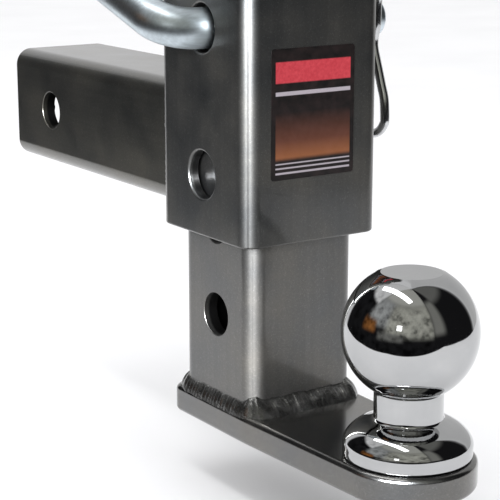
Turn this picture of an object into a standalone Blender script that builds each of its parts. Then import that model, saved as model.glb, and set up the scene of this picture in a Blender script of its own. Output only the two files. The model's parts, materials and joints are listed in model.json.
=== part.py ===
"""Adjustable trailer hitch ball mount, as an assembly of separate solids.

A square receiver shank is welded to the back of an upright sleeve. A drop leg
slides in the sleeve and is held at one of its holes by a bent hitch pin with a
spring clip. A plate welded to the leg's foot carries the hitch ball, which is
clamped with a lock washer and a hex nut.

Units are metres. +Y points towards the vehicle, +Z is up, and the origin is
the centre of the receiver pin hole, on the shank's axis.
"""
import math

import bmesh
import bpy
from mathutils import Matrix, Vector

PART_NAME = "adjustable_ball_mount"
GAP = 0.0003                    # clearance left between touching solids

# Receiver shank: 2 inch square tube
SHANK_SIDE = 0.0508
SHANK_WALL = 0.00635
SHANK_CORNER_R = 0.0075
SHANK_REAR_Y = 0.035            # open end, behind the receiver pin hole
RECEIVER_HOLE_D = 0.017

# Sleeve: 2 1/2 inch square tube that the leg slides in
SLEEVE_SIDE = 0.0635
SLEEVE_WALL = 0.00476
SLEEVE_CORNER_R = 0.00635
SLEEVE_LENGTH = 0.1046
SLEEVE_HOLE_D = 0.019
UPPER_HOLE_INSET = 0.023        # upper hole's centre to the sleeve's top
LOWER_HOLE_INSET = 0.0244       # lower hole's centre to the sleeve's bottom
LEG_AXIS_Y = -0.1406
PIN_Z = 0.0498                  # hitch pin's axis, in the upper sleeve hole
SLEEVE_TOP_Z = PIN_Z + UPPER_HOLE_INSET
SLEEVE_BOTTOM_Z = SLEEVE_TOP_Z - SLEEVE_LENGTH
SLEEVE_BACK_Y = LEG_AXIS_Y + SLEEVE_SIDE / 2
SLEEVE_FRONT_Y = LEG_AXIS_Y - SLEEVE_SIDE / 2

# Drop leg: 2 inch square tube with a column of pin holes
LEG_SIDE = 0.0508
LEG_WALL = 0.00635
LEG_CORNER_R = 0.007
LEG_HOLE_D = 0.0175
LEG_HOLE_PITCH = 0.0381
LEG_HANG = 0.00045              # the leg hangs this far down on the pin
LEG_HOLES_BELOW_PIN = 3
LEG_HOLES_ABOVE_PIN = 1
LEG_TOP_MARGIN = 0.020          # top hole centre to the leg's upper end
LEG_TOP_Z = PIN_Z - LEG_HANG + LEG_HOLES_ABOVE_PIN * LEG_HOLE_PITCH + LEG_TOP_MARGIN

# Ball plate under the leg
PLATE_TOP_Z = -0.1011
PLATE_THICKNESS = 0.0115
PLATE_HALF_WIDTH = 0.0286       # at the leg
PLATE_NOSE_R = 0.026            # round end, centred on the ball
PLATE_REAR_OVERHANG = 0.0046    # plate behind the leg's rear face
PLATE_REAR_CORNER_R = 0.006
PLATE_EDGE_R = 0.0022
PLATE_BOTTOM_Z = PLATE_TOP_Z - PLATE_THICKNESS
PLATE_REAR_Y = LEG_AXIS_Y + LEG_SIDE / 2 + PLATE_REAR_OVERHANG
BALL_HOLE_D = 0.0198

# Hitch ball: 2 inch ball on a 3/4 inch threaded shank
BALL_OFFSET = 0.091             # leg axis to ball axis
BALL_Y = LEG_AXIS_Y - BALL_OFFSET
BALL_R = 0.0254
BALL_RISE = 0.0469              # plate top to the ball's centre
BALL_CENTRE_Z = PLATE_TOP_Z + BALL_RISE
BALL_CROWN_R = 0.012
NECK_R = 0.0129
FLANGE_R = 0.0241
FLANGE_PROFILE = (              # radius, height above the flange's underside
    (0.0136, 0.0143), (0.0152, 0.0129), (0.0177, 0.0117), (0.0201, 0.0105),
    (0.0221, 0.0088), (0.0235, 0.0070), (FLANGE_R, 0.0055), (FLANGE_R, 0.0006),
    (0.0235, 0.0),
)
NECK_BOTTOM = 0.0165            # height of the neck's lower end above the flange's underside
STUD_R = 0.009525
STUD_LENGTH = 0.0381            # below the plate's top
STUD_CHAMFER = 0.0015

# Ball fasteners
WASHER_OUTER_R = 0.0161
WASHER_BORE_R = 0.0099
WASHER_THICKNESS = 0.0048
WASHER_SPLIT_DEG = 7.0
NUT_ACROSS_FLATS = 0.0286
NUT_HEIGHT = 0.0163
NUT_BORE_R = 0.00985
NUT_CHAMFER = 0.0016
WASHER_TOP_Z = PLATE_BOTTOM_Z - GAP
NUT_TOP_Z = WASHER_TOP_Z - WASHER_THICKNESS - GAP

# Hitch pin: 5/8 inch bar with a bent handle
PIN_R = 0.00794
PIN_TIP_X = 0.0535
PIN_BEND_START_X = -0.0335
PIN_BEND_R = 0.013
PIN_HANDLE_RISE_DEG = 18.0
PIN_HANDLE_LENGTH = 0.072       # pin axis to the handle's end
PIN_END_CHAMFER = 0.0016
CLIP_X = 0.046
CLIP_HOLE_D = 0.0046

# Spring clip: one bent wire, given as y and z from the pin's axis
CLIP_WIRE_R = 0.0019
CLIP_STRAIGHT_TOP_Z = 0.021
CLIP_LOOP_CENTRE = (-0.00855, -0.038)
CLIP_LOOP_R = 0.00855
CLIP_OUTER_LEG = (
    (-0.0169, -0.034), (-0.0143, -0.0265), (-0.0112, -0.0180), (-0.0090, -0.0120),
    (-0.0087, -0.0085), (-0.0094, -0.0050), (-0.0102, -0.0018), (-0.0104, 0.0020),
    (-0.0106, 0.0070), (-0.0118, 0.0120), (-0.0142, 0.0172),
)

# Weld runs: width on the larger face, height up the tube
SHANK_WELD = (0.0042, 0.0048)
FOOT_WELD_FRONT = (0.0060, 0.0062)
FOOT_WELD_REAR = (0.0040, 0.0052)
FOOT_WELD_SIDE = (0.0026, 0.0048)
FOOT_WELD_SIDE_LENGTH = 0.0500
FOOT_WELD_CROSS_LENGTH = 0.0560
WELD_CROWN = 0.0006             # how far the bead's face bulges

# Label on the sleeve's front face
LABEL_WIDTH = 0.0390
LABEL_HEIGHT = 0.0500
LABEL_CORNER_R = 0.0012
LABEL_THICKNESS = 0.0003
LABEL_CENTRE_X = -0.0012
LABEL_CENTRE_Z = 0.0188

ROUND_SIDES = 48
HOLE_SIDES = 40
CORNER_STEPS = 6

# Colour, metallic and roughness of each finish
FINISHES = {
    "charcoal_paint": ((0.105, 0.105, 0.098), 0.55, 0.38),
    "weld_paint": ((0.26, 0.26, 0.25), 0.75, 0.34),
    "chrome": ((0.86, 0.87, 0.88), 1.0, 0.05),
    "zinc_plate": ((0.62, 0.66, 0.70), 1.0, 0.28),
    "spring_wire": ((0.70, 0.71, 0.72), 1.0, 0.20),
    "label_film": ((0.03, 0.02, 0.02), 0.0, 0.25),
}


def clear_scene():
    for obj in list(bpy.data.objects):
        bpy.data.objects.remove(obj, do_unlink=True)


def new_collection(name):
    collection = bpy.data.collections.new(name)
    bpy.context.scene.collection.children.link(collection)
    return collection


def make_material(name, finish):
    colour, metallic, roughness = FINISHES[finish]
    material = bpy.data.materials.new(name + "_finish")
    material.use_nodes = True
    shader = material.node_tree.nodes["Principled BSDF"]
    shader.inputs["Base Color"].default_value = (*colour, 1.0)
    shader.inputs["Metallic"].default_value = metallic
    shader.inputs["Roughness"].default_value = roughness
    return material


def add_object(name, data, collection):
    obj = bpy.data.objects.new(name, data)
    collection.objects.link(obj)
    return obj


def dress(obj, finish):
    """Give a part its own material and smooth its round faces."""
    obj.data.materials.clear()
    obj.data.materials.append(make_material(obj.name, finish))
    if obj.type == "MESH":
        obj.data.shade_smooth()
        obj.data.set_sharp_from_angle(angle=math.radians(35))
    return obj


# ---- outlines -------------------------------------------------------------

def arc(cx, cy, radius, start_deg, end_deg, steps):
    """Points along an arc, both ends included."""
    points = []
    for i in range(steps + 1):
        a = math.radians(start_deg + (end_deg - start_deg) * i / steps)
        points.append((cx + radius * math.cos(a), cy + radius * math.sin(a)))
    return points


def rounded_rectangle(width, height, radius, steps=CORNER_STEPS):
    x, y = width / 2 - radius, height / 2 - radius
    points = []
    for cx, cy, start in ((x, y, 0), (-x, y, 90), (-x, -y, 180), (x, -y, 270)):
        points += arc(cx, cy, radius, start, start + 90, steps)
    return points


def circle(radius, sides, cx=0.0, cy=0.0):
    return arc(cx, cy, radius, 0, 360 * (sides - 1) / sides, sides - 1)


def plate_outline():
    """Plan of the ball plate: straight tapering sides and a round nose."""
    rear_x = PLATE_HALF_WIDTH - PLATE_REAR_CORNER_R
    rear_y = PLATE_REAR_Y - PLATE_REAR_CORNER_R
    leg_front_y = LEG_AXIS_Y - LEG_SIDE / 2
    points = arc(rear_x, rear_y, PLATE_REAR_CORNER_R, 0, 90, CORNER_STEPS)
    points += arc(-rear_x, rear_y, PLATE_REAR_CORNER_R, 90, 180, CORNER_STEPS)
    points.append((-PLATE_HALF_WIDTH, leg_front_y))
    points += arc(0, BALL_Y, PLATE_NOSE_R, 180, 360, 28)
    points.append((PLATE_HALF_WIDTH, leg_front_y))
    return points


# ---- solids ---------------------------------------------------------------

def extruded_mesh(name, outlines, length, collection):
    """A closed mesh from flat outlines, extruded evenly about its own XY plane."""
    curve = bpy.data.curves.new(name + "_outline", "CURVE")
    curve.dimensions = "2D"
    curve.fill_mode = "BOTH"
    curve.extrude = length / 2
    for outline in outlines:
        spline = curve.splines.new("POLY")
        spline.points.add(len(outline) - 1)
        for point, (x, y) in zip(spline.points, outline):
            point.co = (x, y, 0.0, 1.0)
        spline.use_cyclic_u = True
    return mesh_from_curve(name, curve, collection)


def bar_curve(name, points, radius, sides_resolution, point_radii=None):
    """A round bar or wire along a list of points, with filled ends."""
    curve = bpy.data.curves.new(name + "_path", "CURVE")
    curve.dimensions = "3D"
    curve.bevel_depth = radius
    curve.bevel_resolution = sides_resolution
    curve.use_fill_caps = True
    spline = curve.splines.new("POLY")
    spline.points.add(len(points) - 1)
    for i, point in enumerate(spline.points):
        point.co = (*points[i], 1.0)
        point.radius = point_radii[i] if point_radii else 1.0
    return curve


def mesh_from_curve(name, curve, collection):
    """Turn a curve into one welded mesh object."""
    source = add_object(name + "_source", curve, collection)
    evaluated = source.evaluated_get(bpy.context.evaluated_depsgraph_get())
    mesh = bpy.data.meshes.new_from_object(evaluated)
    mesh.name = name
    bpy.data.objects.remove(source, do_unlink=True)
    bm_weld(mesh)
    return add_object(name, mesh, collection)


def bm_weld(mesh):
    bm = bmesh.new()
    bm.from_mesh(mesh)
    bmesh.ops.remove_doubles(bm, verts=bm.verts, dist=1e-6)
    bmesh.ops.recalc_face_normals(bm, faces=bm.faces)
    bm.to_mesh(mesh)
    bm.free()


def turned(name, profile, collection, sides=ROUND_SIDES):
    """A solid of revolution from (radius, height) points, top to bottom."""
    mesh = bpy.data.meshes.new(name)
    vertices = [(radius, 0.0, height) for radius, height in profile]
    edges = [(i, i + 1) for i in range(len(profile) - 1)]
    mesh.from_pydata(vertices, edges, [])
    obj = add_object(name, mesh, collection)
    screw = obj.modifiers.new("turn", "SCREW")
    screw.axis = "Z"
    screw.steps = sides
    screw.render_steps = sides
    screw.use_merge_vertices = True
    screw.merge_threshold = 0.00001
    screw.use_smooth_shade = True
    return obj


def cylinder_cutter(name, radius, length, location, axis, collection):
    bpy.ops.mesh.primitive_cylinder_add(vertices=HOLE_SIDES, radius=radius, depth=length,
                                        location=location)
    cutter = bpy.context.object
    cutter.name = name
    if axis == "X":
        cutter.rotation_euler = (0.0, math.pi / 2, 0.0)
        cutter.rotation_euler.rotate_axis("Z", math.pi / HOLE_SIDES)
    for other in list(cutter.users_collection):
        other.objects.unlink(cutter)
    collection.objects.link(cutter)
    cutter.hide_render = True
    cutter.display_type = "WIRE"
    return cutter


def cut(obj, cutter, operation="DIFFERENCE"):
    modifier = obj.modifiers.new("cut_" + cutter.name, "BOOLEAN")
    modifier.operation = operation
    modifier.solver = "EXACT"
    modifier.object = cutter


def place(obj, location, x_axis, y_axis):
    """Set an object's position and the directions of its local X and Y."""
    x, y = Vector(x_axis), Vector(y_axis)
    z = x.cross(y)
    rotation = Matrix((x, y, z)).transposed()
    obj.matrix_world = Matrix.Translation(Vector(location)) @ rotation.to_4x4()


def square_tube(name, side, wall, corner_r, length, collection):
    outer = rounded_rectangle(side, side, corner_r)
    inner_side = side - 2 * wall
    inner = rounded_rectangle(inner_side, inner_side, max(corner_r - wall, 0.0012), 3)
    return extruded_mesh(name, (outer, inner), length, collection)


# ---- sub-parts ------------------------------------------------------------

def build_shank(parts, cutters):
    front_y = SLEEVE_BACK_Y + GAP
    length = SHANK_REAR_Y - front_y
    tube = square_tube("shank_tube", SHANK_SIDE, SHANK_WALL, SHANK_CORNER_R, length, parts)
    place(tube, (0, front_y + length / 2, 0), (1, 0, 0), (0, 0, 1))
    cut(tube, cylinder_cutter("receiver_hole_cutter", RECEIVER_HOLE_D / 2, 0.08, (0, 0, 0), "X", cutters))
    return dress(tube, "charcoal_paint")


def build_sleeve(parts, cutters):
    tube = square_tube("sleeve_tube", SLEEVE_SIDE, SLEEVE_WALL, SLEEVE_CORNER_R, SLEEVE_LENGTH, parts)
    middle_z = SLEEVE_BOTTOM_Z + SLEEVE_LENGTH / 2
    place(tube, (0, LEG_AXIS_Y, middle_z), (1, 0, 0), (0, 1, 0))
    for name, z in (("upper", PIN_Z), ("lower", SLEEVE_BOTTOM_Z + LOWER_HOLE_INSET)):
        cut(tube, cylinder_cutter(f"sleeve_{name}_hole_cutter", SLEEVE_HOLE_D / 2, 0.09,
                                  (0, LEG_AXIS_Y, z), "X", cutters))
    return dress(tube, "charcoal_paint")


def build_leg(parts, cutters):
    bottom_z = PLATE_TOP_Z + GAP
    length = LEG_TOP_Z - bottom_z
    tube = square_tube("leg_tube", LEG_SIDE, LEG_WALL, LEG_CORNER_R, length, parts)
    place(tube, (0, LEG_AXIS_Y, bottom_z + length / 2), (1, 0, 0), (0, 1, 0))
    for i in range(-LEG_HOLES_BELOW_PIN, LEG_HOLES_ABOVE_PIN + 1):
        z = PIN_Z - LEG_HANG + i * LEG_HOLE_PITCH
        number = i + LEG_HOLES_BELOW_PIN + 1
        cut(tube, cylinder_cutter(f"leg_hole_cutter_{number}", LEG_HOLE_D / 2, 0.08,
                                  (0, LEG_AXIS_Y, z), "X", cutters))
    return dress(tube, "charcoal_paint")


def build_plate(parts):
    outlines = (plate_outline(), circle(BALL_HOLE_D / 2, HOLE_SIDES, 0, BALL_Y))
    plate = extruded_mesh("ball_plate", outlines, PLATE_THICKNESS, parts)
    plate.location = (0, 0, PLATE_TOP_Z - PLATE_THICKNESS / 2)
    bevel = plate.modifiers.new("rounded_edges", "BEVEL")
    bevel.width = PLATE_EDGE_R
    bevel.segments = 3
    bevel.limit_method = "ANGLE"
    bevel.angle_limit = math.radians(50)
    return dress(plate, "charcoal_paint")


def weld_run(name, size, length, corner, outward, up, parts):
    """A fillet bead: its corner lies in the joint, one leg outward and one leg up."""
    width, height = size
    steps = 5
    outline = [(0.0, 0.0)]
    for i in range(steps + 1):
        t = i / steps
        crown = WELD_CROWN * math.sin(math.pi * t)
        outline.append((width * (1 - t) + crown, height * t + crown))
    run = extruded_mesh(name, (outline,), length, parts)
    offset = Vector(outward) * GAP + Vector(up) * GAP
    place(run, Vector(corner) + offset, outward, up)
    return dress(run, "weld_paint")


def build_shank_welds(parts):
    half = SHANK_SIDE / 2
    length = SHANK_SIDE - 2 * GAP
    runs = {
        "shank_weld_top": ((0, SLEEVE_BACK_Y, half), (0, 0, 1)),
        "shank_weld_bottom": ((0, SLEEVE_BACK_Y, -half), (0, 0, -1)),
        "shank_weld_left": ((-half, SLEEVE_BACK_Y, 0), (-1, 0, 0)),
        "shank_weld_right": ((half, SLEEVE_BACK_Y, 0), (1, 0, 0)),
    }
    for name, (corner, outward) in runs.items():
        weld_run(name, SHANK_WELD, length, corner, outward, (0, 1, 0), parts)


def build_foot_welds(parts):
    half = LEG_SIDE / 2
    z = PLATE_TOP_Z
    runs = {
        "foot_weld_front": (FOOT_WELD_FRONT, FOOT_WELD_CROSS_LENGTH, (0, LEG_AXIS_Y - half, z), (0, -1, 0)),
        "foot_weld_rear": (FOOT_WELD_REAR, FOOT_WELD_CROSS_LENGTH, (0, LEG_AXIS_Y + half, z), (0, 1, 0)),
        "foot_weld_left": (FOOT_WELD_SIDE, FOOT_WELD_SIDE_LENGTH, (-half, LEG_AXIS_Y, z), (-1, 0, 0)),
        "foot_weld_right": (FOOT_WELD_SIDE, FOOT_WELD_SIDE_LENGTH, (half, LEG_AXIS_Y, z), (1, 0, 0)),
    }
    for name, (size, length, corner, outward) in runs.items():
        weld_run(name, size, length, corner, outward, (0, 0, 1), parts)


def build_ball(parts):
    """Ball, neck, flange and stud are one forging, turned about the ball's axis."""
    underside = PLATE_TOP_Z + GAP
    crown_height = math.sqrt(BALL_R ** 2 - BALL_CROWN_R ** 2)
    top_deg = math.degrees(math.atan2(crown_height, BALL_CROWN_R))
    neck_deg = -math.degrees(math.acos(NECK_R / BALL_R))
    profile = [(0.0, BALL_CENTRE_Z + crown_height)]
    profile += arc(0.0, BALL_CENTRE_Z, BALL_R, top_deg, neck_deg, 26)
    profile.append((NECK_R, underside + NECK_BOTTOM))
    profile += [(radius, underside + height) for radius, height in FLANGE_PROFILE]
    stud_end = PLATE_TOP_Z - STUD_LENGTH
    profile += [
        (STUD_R, underside),
        (STUD_R, stud_end + STUD_CHAMFER),
        (STUD_R - STUD_CHAMFER, stud_end),
        (0.0, stud_end),
    ]
    ball = turned("hitch_ball", profile, parts)
    ball.location = (0, BALL_Y, 0)
    return dress(ball, "chrome")


def build_lock_washer(parts):
    half_split = WASHER_SPLIT_DEG / 2
    outline = arc(0, 0, WASHER_OUTER_R, half_split, 360 - half_split, 40)
    outline += arc(0, 0, WASHER_BORE_R, 360 - half_split, half_split, 32)
    washer = extruded_mesh("lock_washer", (outline,), WASHER_THICKNESS, parts)
    washer.location = (0, BALL_Y, WASHER_TOP_Z - WASHER_THICKNESS / 2)
    return dress(washer, "zinc_plate")


def build_nut(parts, cutters):
    corner_r = NUT_ACROSS_FLATS / 2 / math.cos(math.radians(30))
    outlines = (circle(corner_r, 6), circle(NUT_BORE_R, HOLE_SIDES))
    nut = extruded_mesh("ball_nut", outlines, NUT_HEIGHT, parts)
    nut.location = (0, BALL_Y, NUT_TOP_Z - NUT_HEIGHT / 2)
    half = NUT_HEIGHT / 2
    flat_r = NUT_ACROSS_FLATS / 2
    reach = corner_r + 0.001
    drop = (reach - flat_r) * math.tan(math.radians(30))
    profile = [
        (0.0, half + 0.001), (flat_r - NUT_CHAMFER / 2, half + 0.001), (flat_r - NUT_CHAMFER / 2, half),
        (reach, half - drop - NUT_CHAMFER / 2), (reach, -half + drop + NUT_CHAMFER / 2),
        (flat_r - NUT_CHAMFER / 2, -half), (flat_r - NUT_CHAMFER / 2, -half - 0.001), (0.0, -half - 0.001),
    ]
    chamfer = turned("nut_chamfer_cutter", profile, cutters)
    chamfer.location = nut.location
    chamfer.hide_render = True
    chamfer.display_type = "WIRE"
    cut(nut, chamfer, "INTERSECT")
    return dress(nut, "zinc_plate")


def pin_route():
    """The pin's centreline from tip to handle end, and each point's relative radius."""
    rise = math.radians(PIN_HANDLE_RISE_DEG)
    along = Vector((0.0, math.cos(rise), math.sin(rise)))
    chamfer_scale = 1 - PIN_END_CHAMFER / PIN_R
    points = [Vector((PIN_TIP_X, 0, 0)), Vector((PIN_TIP_X - PIN_END_CHAMFER, 0, 0))]
    bend_centre = Vector((PIN_BEND_START_X, 0, 0)) + along * PIN_BEND_R
    steps = 10
    for i in range(steps + 1):
        a = math.pi / 2 * i / steps
        points.append(bend_centre - along * PIN_BEND_R * math.cos(a)
                      - Vector((1, 0, 0)) * PIN_BEND_R * math.sin(a))
    end = Vector((PIN_BEND_START_X - PIN_BEND_R, 0, 0)) + along * PIN_HANDLE_LENGTH
    points += [end - along * PIN_END_CHAMFER, end]
    radii = [chamfer_scale] + [1.0] * (len(points) - 2) + [chamfer_scale]
    return points, radii


def build_pin(parts, cutters):
    points, radii = pin_route()
    curve = bar_curve("hitch_pin", points, PIN_R, 10, radii)
    pin = mesh_from_curve("hitch_pin", curve, parts)
    pin.location = (0, LEG_AXIS_Y, PIN_Z)
    cut(pin, cylinder_cutter("clip_hole_cutter", CLIP_HOLE_D / 2, 0.03,
                             (CLIP_X, LEG_AXIS_Y, PIN_Z), "Z", cutters))
    return dress(pin, "zinc_plate")


def clip_route():
    """The clip's wire from the straight leg's top, round the loop, up the outer leg."""
    cy, cz = CLIP_LOOP_CENTRE
    points = [(0.0, CLIP_STRAIGHT_TOP_Z), (0.0, cz)]
    points += arc(cy, cz, CLIP_LOOP_R, -11.25, -168.75, 14)
    points += CLIP_OUTER_LEG
    return [Vector((0.0, y, z)) for y, z in points]


def build_clip(parts, pin):
    curve = bar_curve("pin_clip", clip_route(), CLIP_WIRE_R, 3)
    clip = mesh_from_curve("pin_clip", curve, parts)
    clip.parent = pin
    clip.location = (CLIP_X, 0, 0)
    return dress(clip, "spring_wire")


def build_label(parts):
    outline = rounded_rectangle(LABEL_WIDTH, LABEL_HEIGHT, LABEL_CORNER_R, 3)
    label = extruded_mesh("label_plate", (outline,), LABEL_THICKNESS, parts)
    y = SLEEVE_FRONT_Y - GAP - LABEL_THICKNESS / 2
    place(label, (LABEL_CENTRE_X, y, LABEL_CENTRE_Z), (1, 0, 0), (0, 0, 1))
    return dress(label, "label_film")


def main():
    clear_scene()
    parts = new_collection(PART_NAME)
    cutters = new_collection("cutters")
    build_shank(parts, cutters)
    build_sleeve(parts, cutters)
    build_shank_welds(parts)
    build_label(parts)
    build_leg(parts, cutters)
    build_plate(parts)
    build_foot_welds(parts)
    build_ball(parts)
    build_lock_washer(parts)
    build_nut(parts, cutters)
    pin = build_pin(parts, cutters)
    build_clip(parts, pin)


main()
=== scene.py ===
"""Looks of an adjustable trailer hitch ball mount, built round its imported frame.

Every piece is in metres in the frame's own axes: +Y towards the vehicle, +Z up.
"""

import json
import math

import bmesh
import bpy
from mathutils import Matrix, Vector, noise


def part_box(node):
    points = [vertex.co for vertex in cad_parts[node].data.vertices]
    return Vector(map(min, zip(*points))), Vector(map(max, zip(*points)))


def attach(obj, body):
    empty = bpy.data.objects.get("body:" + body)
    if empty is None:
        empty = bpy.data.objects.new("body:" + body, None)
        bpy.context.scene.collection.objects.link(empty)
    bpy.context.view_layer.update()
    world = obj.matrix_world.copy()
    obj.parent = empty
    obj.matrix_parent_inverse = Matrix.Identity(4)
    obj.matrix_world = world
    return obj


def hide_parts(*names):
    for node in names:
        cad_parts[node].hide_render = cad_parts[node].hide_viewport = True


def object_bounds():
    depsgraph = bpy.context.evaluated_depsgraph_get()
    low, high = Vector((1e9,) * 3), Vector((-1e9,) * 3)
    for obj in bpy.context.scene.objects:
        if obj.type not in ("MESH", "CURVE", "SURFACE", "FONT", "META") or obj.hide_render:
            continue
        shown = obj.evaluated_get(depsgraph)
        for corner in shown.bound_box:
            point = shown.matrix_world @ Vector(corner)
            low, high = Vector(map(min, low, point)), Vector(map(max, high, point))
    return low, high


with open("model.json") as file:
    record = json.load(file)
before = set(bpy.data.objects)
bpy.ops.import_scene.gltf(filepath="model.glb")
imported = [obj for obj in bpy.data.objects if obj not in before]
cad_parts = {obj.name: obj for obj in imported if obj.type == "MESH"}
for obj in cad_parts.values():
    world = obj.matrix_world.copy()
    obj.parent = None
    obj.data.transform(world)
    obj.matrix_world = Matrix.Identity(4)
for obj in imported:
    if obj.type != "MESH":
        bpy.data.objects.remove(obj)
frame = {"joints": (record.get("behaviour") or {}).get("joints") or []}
CAD_LOW, CAD_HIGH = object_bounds()

MM = 0.001
JOINTS = {joint["name"]: joint for joint in frame["joints"]}

# Sizes that a node's box doesn't give
SHANK_WALL = 6.35 * MM
SHANK_CORNER_R = 7.5 * MM
RECEIVER_HOLE_R = 8.5 * MM
SLEEVE_WALL = 4.76 * MM
SLEEVE_CORNER_R = 6.35 * MM
SLEEVE_HOLE_R = 9.5 * MM
SLEEVE_UPPER_HOLE_INSET = 23.0 * MM
SLEEVE_LOWER_HOLE_INSET = 24.4 * MM
LEG_WALL = 6.35 * MM
LEG_CORNER_R = 7.0 * MM
LEG_HOLE_R = 8.75 * MM
LEG_HOLE_PITCH = 38.1 * MM
LEG_TOP_MARGIN = 20.0 * MM
LEG_HOLES = 5
PLATE_NOSE_R = 26.0 * MM
PLATE_REAR_CORNER_R = 6.0 * MM
PLATE_EDGE_R = 2.2 * MM
BALL_HOLE_R = 9.9 * MM
CROWN_R = 12.0 * MM
NECK_R = 12.9 * MM
NECK_BOTTOM = 16.5 * MM
STUD_R = 9.5 * MM
THREAD_PITCH = 1.5875 * MM
THREAD_DEPTH = 0.95 * MM
PIN_BEND_START_X = -33.5 * MM
PIN_BEND_R = 13.0 * MM
PIN_HANDLE_RISE = math.radians(18.0)
PIN_HANDLE_LENGTH = 72.0 * MM
CLIP_HOLE_R = 2.3 * MM
CLIP_WIRE_R = 1.9 * MM

CORNER_STEPS = 12
HOLE_SIDES = 72
SEAM_POINTS = 7


# ---- camera, floor and light ----------------------------------------------

CAMERA_AT = (-0.3559, -0.6552, 0.1091)
CAMERA_LOOK = (0.5436, 0.8059, -0.2346)
CAMERA_LENS = 113.77
FLOOR_DROP = 0.0004             # floor below the stud's end
FLOOR_CENTRE = (0.40, 0.03)
FLOOR_R = 12.0
TABLE_OUTLINE = (               # the part of the floor that gloss mirrors
    (-0.228, -0.289), (-0.074, -0.460), (0.121, -0.700), (0.366, -0.668), (0.542, -0.532), (0.90, -0.23),
    (1.20, 0.50), (0.90, 1.10), (0.00, 1.10), (-0.278, 0.231), (-0.294, -0.062),
)


def sky_angles(tree):
    """Azimuth from +Y towards +X and elevation, both in degrees, of a world ray."""
    direction = tree.nodes.new("ShaderNodeTexCoord").outputs["Generated"]
    split = tree.nodes.new("ShaderNodeSeparateXYZ")
    tree.links.new(direction, split.inputs[0])
    azimuth = math_node(tree, "ARCTAN2", split.outputs["X"], split.outputs["Y"])
    elevation = math_node(tree, "ARCSINE", split.outputs["Z"])
    return [math_node(tree, "MULTIPLY", angle, math.degrees(1)) for angle in (azimuth, elevation)]


def math_node(tree, operation, first, second=None):
    node = tree.nodes.new("ShaderNodeMath")
    node.operation = operation
    for socket, value in zip(node.inputs, (first, second)):
        if value is None:
            continue
        if isinstance(value, (int, float)):
            socket.default_value = value
        else:
            tree.links.new(value, socket)
    return node.outputs[0]


def smooth_step(tree, value, start, end):
    node = tree.nodes.new("ShaderNodeMapRange")
    node.interpolation_type = "SMOOTHSTEP"
    tree.links.new(value, node.inputs["Value"])
    node.inputs["From Min"].default_value = start
    node.inputs["From Max"].default_value = end
    return node.outputs["Result"]


# Studio walls as a glossy surface mirrors them: azimuth from, to, elevation
# from, to, softness, all in degrees, then the colour over a near-black room
STUDIO_PATCHES = (
    (-12, 96, -90, 90, 5, (0.88, 0.88, 0.89)),
    (35, 96, -90, 90, 14, (0.66, 0.66, 0.66)),
    (-60, -12, 42, 90, 6, (0.80, 0.80, 0.80)),
    (-180, -60, 55, 90, 12, (0.50, 0.50, 0.46)),
    (-108, -58, 17, 56, 12, (0.37, 0.38, 0.38)),
    (-180, -98, 5, 56, 14, (0.43, 0.43, 0.38)),
    (160, 180, 8, 60, 12, (0.26, 0.26, 0.24)),
    (-128, -85, -2, 10, 8, (0.17, 0.17, 0.16)),
    (-78, -54, 6, 22, 8, (0.30, 0.12, 0.035)),
    (100, 160, 55, 90, 12, (0.17, 0.17, 0.16)),
)
ROOM_COLOUR = (0.012, 0.012, 0.013)
CLUTTER_SCALE = 5.0
CLUTTER_AZIMUTHS = (-8, -40)      # none to full, in degrees
CLUTTER_ELEVATIONS = (62, 40)
STUDIO_LIGHT = (1.22, 1.222, 1.23)
TUBE_OFFSET = (-0.37, 0.18, 1.15)   # overhead tube's centre from the ball
TUBE_SIZE = (0.15, 1.22)
TUBE_BRIGHTNESS = 7.5
SMALL_BOX_AT = (-129, 16)       # azimuth and elevation, in degrees
SMALL_BOX_DISTANCE = 0.8
SMALL_BOX_SIZE = (0.10, 0.10)
SMALL_BOX_BRIGHTNESS = 6.0
RIM_AT = (-127, 16)
RIM_DISTANCE = 1.2
RIM_SIZE = (0.75, 0.42)
RIM_BRIGHTNESS = 165.0
RIM_COLOUR = (0.92, 0.95, 1.0)
RIM_LIT = ("receiver_shank", "leg_sleeve", "drop_leg", "ball_plate_body", "shank_weld")


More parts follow.
